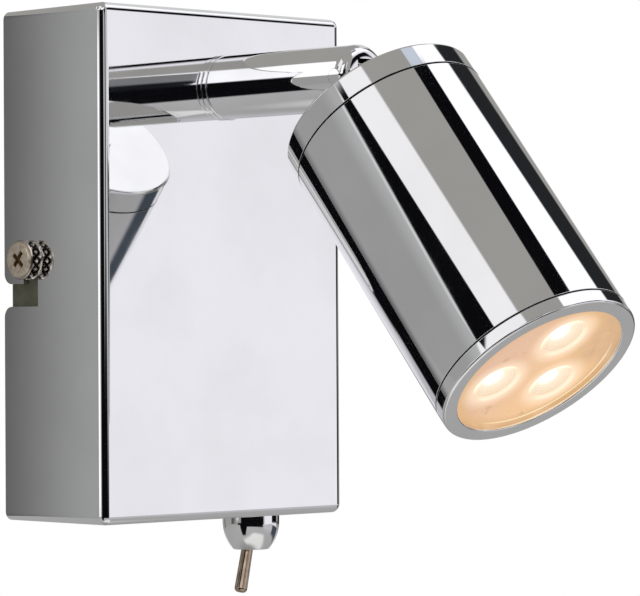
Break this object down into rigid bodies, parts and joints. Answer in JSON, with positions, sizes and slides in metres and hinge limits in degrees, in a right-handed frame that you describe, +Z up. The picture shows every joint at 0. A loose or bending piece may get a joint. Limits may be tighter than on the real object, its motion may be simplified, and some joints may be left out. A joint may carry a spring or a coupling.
{
  "type": "wall spotlight",
  "caption": "Chromed wall spotlight: a folded wall box with a toggle switch, a straight swivelling arm and a tilting cylindrical lamp head with a multi-lens front.",
  "frame": {"origin": "on the wall plane, behind the centre of the wall box and midway between the bracket's fixing slots", "axes": "+X to the right as seen from the room, +Y into the wall, +Z up; the lamp stands out along -Y"},
  "size_m": [0.0976, 0.1797, 0.1629],
  "materials": {
    "chrome": "mirror-polished chrome plating",
    "nickel": "turned nickel plating, knurled",
    "warm_nickel": "satin nickel, warm tone",
    "zinc": "dull zinc plating",
    "brass": "bare turned brass",
    "white_moulding": "moulded, matt",
    "ceramic": "unglazed ceramic",
    "black_moulding": "moulded phenolic",
    "fibre": "pressed fibre",
    "bare_aluminium": "cast, fine matt",
    "board": "white solder mask",
    "emitter": "yellow phosphor under a clear dome",
    "lens": "clear moulded optic with a fine texture"
  },
  "bodies": {
    "base": {"cover_box": "chrome", "wall_bracket": "zinc", "thumbscrews": "nickel", "earth_screw": "brass", "earth_washer": "brass", "terminal_block": "white_moulding", "terminal_inserts": "brass", "terminal_screws": "brass", "terminal_fixing_screws": "zinc", "swivel_stop_stud": "zinc", "arm_collar": "chrome", "switch_body": "black_moulding", "switch_bushing": "brass", "switch_terminals": "brass", "switch_lock_nut": "zinc", "switch_lock_washer": "zinc", "switch_dome_nut": "chrome"},
    "arm": {"arm_tube": "chrome", "arm_nipple": "zinc", "swivel_stop_washer": "zinc", "arm_spring_washer": "zinc", "arm_nut": "zinc", "tilt_pin": "chrome", "tilt_washers": "fibre"},
    "head": {"head_knuckle": "chrome", "knuckle_washer": "zinc", "knuckle_nut": "zinc", "rear_cap": "chrome", "head_tube": "chrome", "front_bezel": "chrome", "holder_strap": "zinc", "holder_screws": "zinc", "lampholder": "ceramic", "holder_contacts": "brass", "lamp_base": "white_moulding", "lamp_pins": "brass", "lamp_heatsink": "bare_aluminium", "led_board": "board", "led_emitters": "emitter", "lamp_lens": "lens"},
    "lever": {"switch_lever": "warm_nickel"}
  },
  "joints": [
    {"name": "arm_swivel", "type": "hinge", "parent": "base", "child": "arm", "pos_m": [0, -0.042, 0.0486], "axis": [0, -1, 0], "range_deg": [-165, 165]},
    {"name": "head_tilt", "type": "hinge", "parent": "arm", "child": "head", "pos_m": [0, -0.094, 0.0486], "axis": [1, 0, 0], "range_deg": [-50, 40]},
    {"name": "switch_lever", "type": "hinge", "parent": "base", "child": "lever", "pos_m": [0.028, -0.021, -0.0739], "axis": [0, -1, 0], "range_deg": [0, 25.6]}
  ]
}
